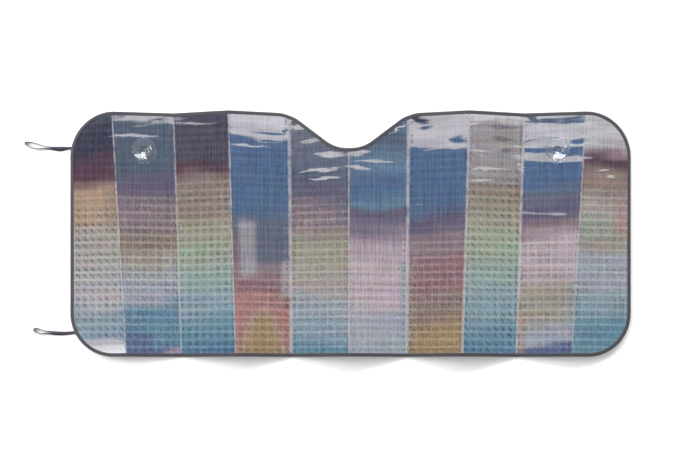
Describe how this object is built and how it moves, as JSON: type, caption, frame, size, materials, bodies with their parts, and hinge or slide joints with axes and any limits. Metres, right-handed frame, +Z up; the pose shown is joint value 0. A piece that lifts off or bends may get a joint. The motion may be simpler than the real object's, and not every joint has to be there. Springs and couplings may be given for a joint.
{
  "type": "windscreen sunshade",
  "caption": "Accordion-folded windscreen sunshade of foil-faced bubble sheet with a mirror notch, bound edge, two suction cups and two elastic loops.",
  "frame": {"origin": "on the surface that the open shade lies on, under the middle of its width and height", "axes": "+X along the width, the elastic loops at -X; +Y towards the edge with the mirror notch; +Z up, out of the foil side"},
  "size_m": [1.4919, 0.6, 0.0302],
  "materials": {
    "foil": "metallised iridescent foil, quilted by the bubbles under it",
    "binding": "woven charcoal tape",
    "clear_vinyl": "clear soft vinyl",
    "elastic": "woven flat elastic"
  },
  "bodies": {
    "shade": {"shade_sheet": "foil", "edge_binding": "binding", "upper_elastic_loop": "elastic", "lower_elastic_loop": "elastic"},
    "left_cup": {"left_suction_cup": "clear_vinyl"},
    "right_cup": {"right_suction_cup": "clear_vinyl"}
  },
  "joints": [
    {"name": "left_cup_swivel", "type": "hinge", "parent": "shade", "child": "left_cup", "pos_m": [-0.50634, 0.20651, 0.01167], "axis": [0.1053, 0.0048, 0.9944], "continuous": true},
    {"name": "right_cup_swivel", "type": "hinge", "parent": "shade", "child": "right_cup", "pos_m": [0.50634, 0.20651, 0.01251], "axis": [-0.1053, 0.005, 0.9944], "continuous": true}
  ]
}
